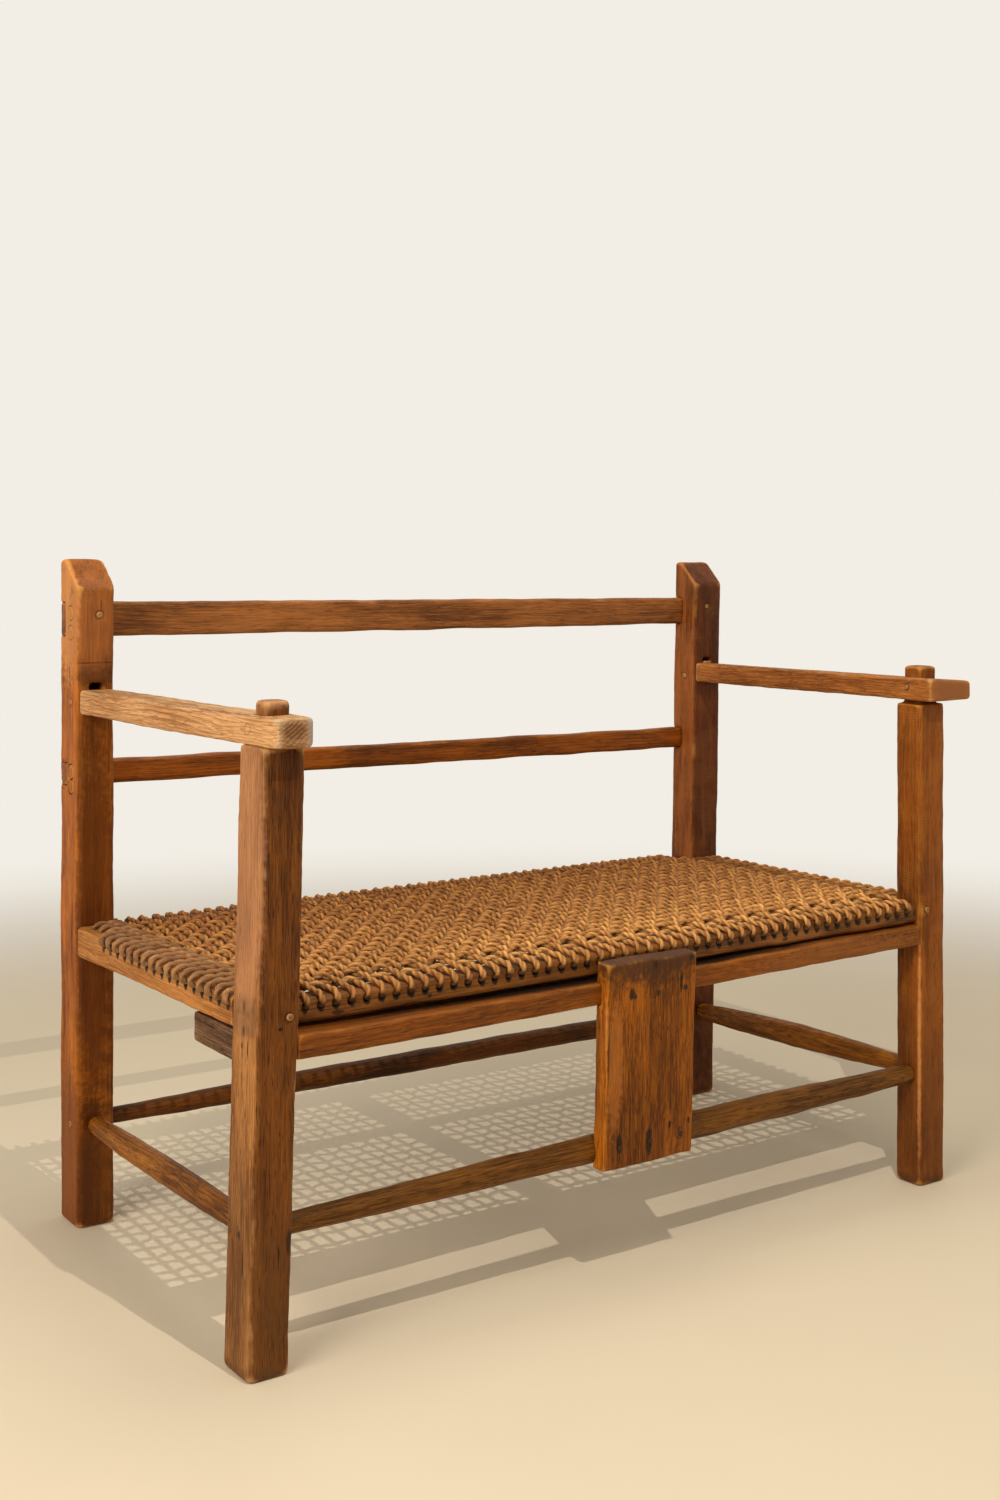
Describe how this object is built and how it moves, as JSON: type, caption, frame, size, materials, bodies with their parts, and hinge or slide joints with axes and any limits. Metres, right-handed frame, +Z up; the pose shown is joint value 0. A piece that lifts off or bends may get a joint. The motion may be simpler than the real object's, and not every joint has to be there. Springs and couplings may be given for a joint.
{
  "type": "mission settle",
  "caption": "Rustic wooden settle with square posts, flat arms, slender back rails, a woven cord seat, shaved stretchers and a board nailed upright across the front.",
  "frame": {"origin": "on the floor, below the middle of the bounding box", "axes": "+Z up, +Y from the open front to the back rails, +X to the right as seen from the front"},
  "size_m": [1.182, 0.656, 0.918],
  "materials": {
    "red_brown_oak": "satin, worn, old finish",
    "open_grain_oak": "dry, open grain",
    "arm_oak": "satin, hand worn",
    "back_rail_oak": "satin",
    "side_rail_oak": "satin",
    "dark_rail_oak": "dull, scratched",
    "lower_rail_oak": "satin",
    "board_wood": "satin",
    "shaved_wood": "satin, tool marks",
    "rough_wood": "rough, unfinished",
    "peg_wood": "end grain",
    "seat_cord": "twisted plant-fibre cord",
    "iron": "dark, rusted"
  },
  "bodies": {
    "root": {"rear_left_post": "red_brown_oak", "rear_right_post": "red_brown_oak", "front_left_post": "open_grain_oak", "front_right_post": "red_brown_oak", "left_arm": "arm_oak", "right_arm": "arm_oak", "top_back_rail": "back_rail_oak", "middle_back_rail": "back_rail_oak", "front_seat_rail": "dark_rail_oak", "rear_seat_rail": "dark_rail_oak", "left_seat_rail": "side_rail_oak", "right_seat_rail": "side_rail_oak", "lower_front_rail": "lower_rail_oak", "centre_board": "board_wood", "front_stretcher": "shaved_wood", "rear_stretcher": "shaved_wood", "left_stretcher": "shaved_wood", "right_stretcher": "shaved_wood", "left_seat_bearer": "rough_wood", "seat_brace": "dark_rail_oak", "woven_seat": "seat_cord", "front_cord_ends": "seat_cord", "rear_cord_ends": "seat_cord", "left_cord_ends": "seat_cord", "right_cord_ends": "seat_cord", "frame_pegs": "peg_wood", "arm_peg": "peg_wood", "arm_wedge": "peg_wood", "rear_left_plugs": "peg_wood", "board_nails": "iron", "frame_nails": "iron"}
  },
  "joints": []
}
